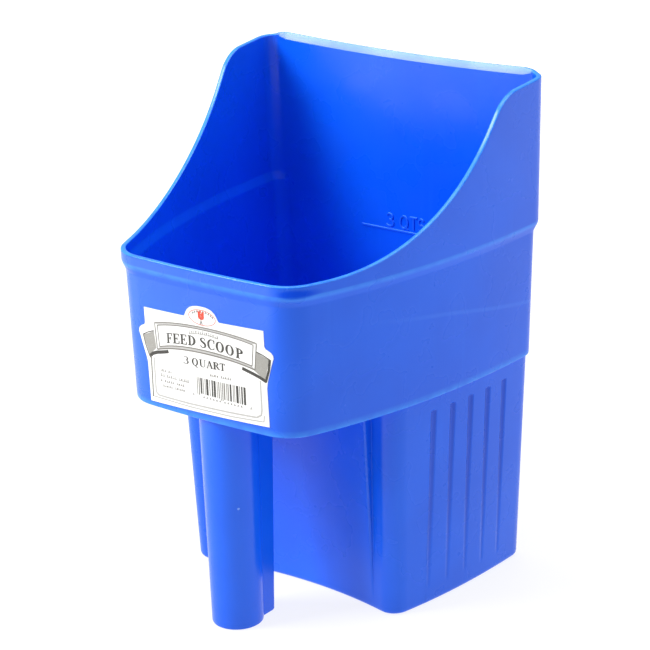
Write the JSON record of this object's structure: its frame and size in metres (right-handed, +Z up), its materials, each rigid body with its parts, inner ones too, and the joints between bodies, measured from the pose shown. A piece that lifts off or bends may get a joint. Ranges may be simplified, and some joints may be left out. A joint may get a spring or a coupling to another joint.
{
  "type": "feed scoop",
  "caption": "Free-standing moulded plastic feed scoop: tall-backed tapered bin with swept rims, fluted lower body and an upright round grip under the lip.",
  "frame": {"origin": "on the resting plane, under the middle of the bounding box", "axes": "+Z up, -Y is the label and grip side, +Y the tall back wall, +X to the right seen from the front"},
  "size_m": [0.1808, 0.1742, 0.2678],
  "materials": {
    "moulding": "satin",
    "grip": "satin",
    "spine": "satin",
    "label_paper": "satin"
  },
  "bodies": {
    "root": {"scoop_body": "moulding", "handle_grip": "grip", "handle_spine": "spine", "label": "label_paper"}
  },
  "joints": []
}
